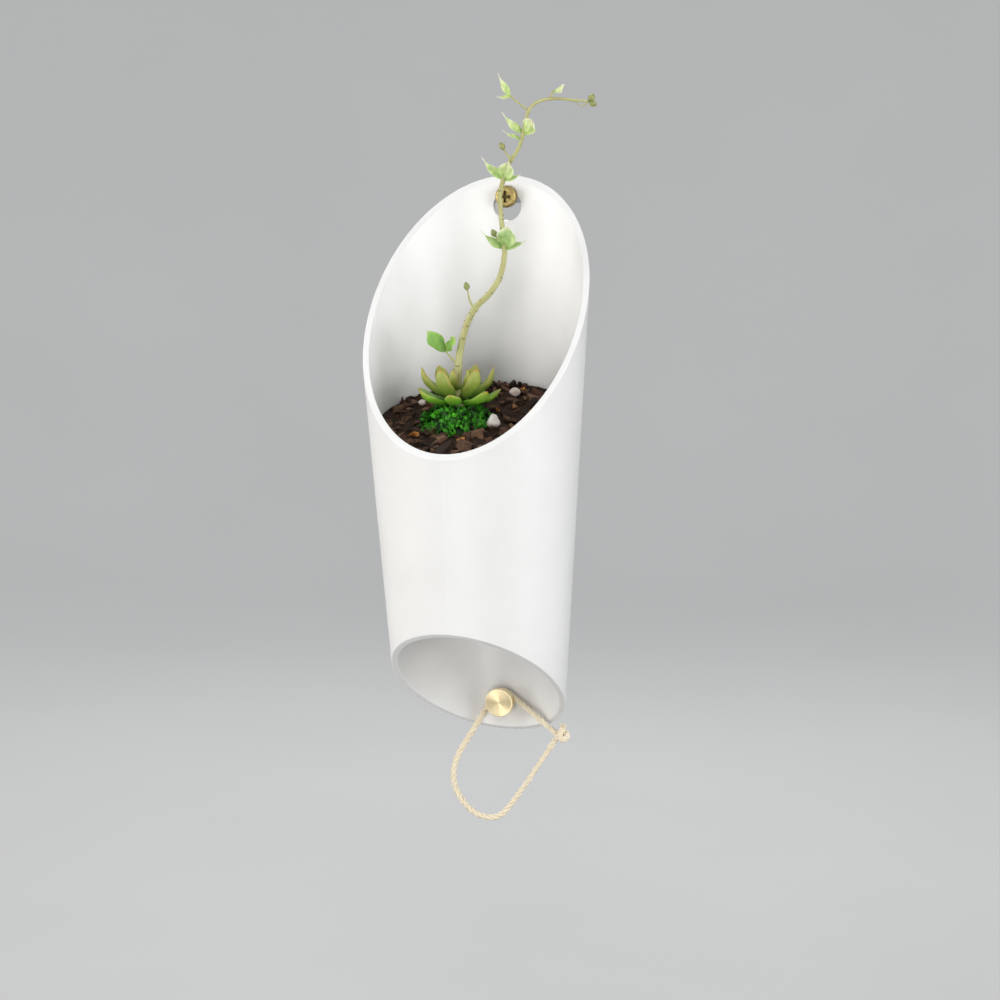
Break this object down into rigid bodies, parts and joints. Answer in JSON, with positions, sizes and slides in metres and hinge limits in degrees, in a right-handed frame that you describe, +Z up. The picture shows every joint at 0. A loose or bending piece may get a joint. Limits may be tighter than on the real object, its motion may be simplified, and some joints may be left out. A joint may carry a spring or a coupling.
{
  "type": "wall planter",
  "caption": "Slim ceramic wall planter with a slanted mouth and an open foot, hung on a screw, planted with a flowering rosette, with a brass peg and a cord loop for keys.",
  "frame": {"origin": "on the wall plane, on the axis of the wall screw that the planter hangs on", "axes": "+Z up, +Y into the wall, +X to the right as seen from the room"},
  "size_m": [0.0923, 0.1192, 0.306],
  "materials": {
    "ceramic": "smooth satin white glaze",
    "brass": "turned and lightly polished",
    "steel": "zinc plated",
    "plug_plastic": "moulded grey",
    "washer_plastic": "pale nylon",
    "cord": "pale cream twisted cord",
    "soil": "dark crumbly potting soil",
    "bark": "rough brown bark",
    "pebble": "pale matte stone",
    "moss": "dense bright moss",
    "rosette_leaf": "fleshy green leaf with a warm tip",
    "stalk": "pale olive stem",
    "stalk_leaf": "thin pale green leaf",
    "bud": "small olive bud"
  },
  "bodies": {
    "wall_fixing": {"wall_screw": "brass", "wall_plug": "plug_plastic"},
    "planter": {"planter_shell": "ceramic", "key_peg": "brass", "peg_washer": "washer_plastic", "peg_screw": "steel", "potting_soil": "soil", "moss_mound": "moss", "bark_chips": "bark", "pebbles": "pebble", "rosette_crown": "stalk", "rosette_outer_leaves": "rosette_leaf", "rosette_middle_leaves": "rosette_leaf", "rosette_inner_leaves": "rosette_leaf", "flower_stalk": "stalk", "side_shoots": "stalk", "shoot_leaves": "stalk_leaf", "stalk_leaves_low": "stalk_leaf", "stalk_leaves_middle": "stalk_leaf", "stalk_leaves_high": "stalk_leaf", "tip_leaves": "stalk_leaf", "flower_buds": "bud"},
    "key_loop": {"loop_cord": "cord", "loop_knot": "cord"}
  },
  "joints": [
    {"name": "planter_swing", "type": "hinge", "parent": "wall_fixing", "child": "planter", "pos_m": [0, 0, 0], "axis": [0, -1, 0], "range_deg": [-20, 20]},
    {"name": "loop_swing", "type": "hinge", "parent": "planter", "child": "key_loop", "pos_m": [0, -0.0064, -0.2081], "axis": [0, -1, 0], "range_deg": [-20, 5]}
  ]
}
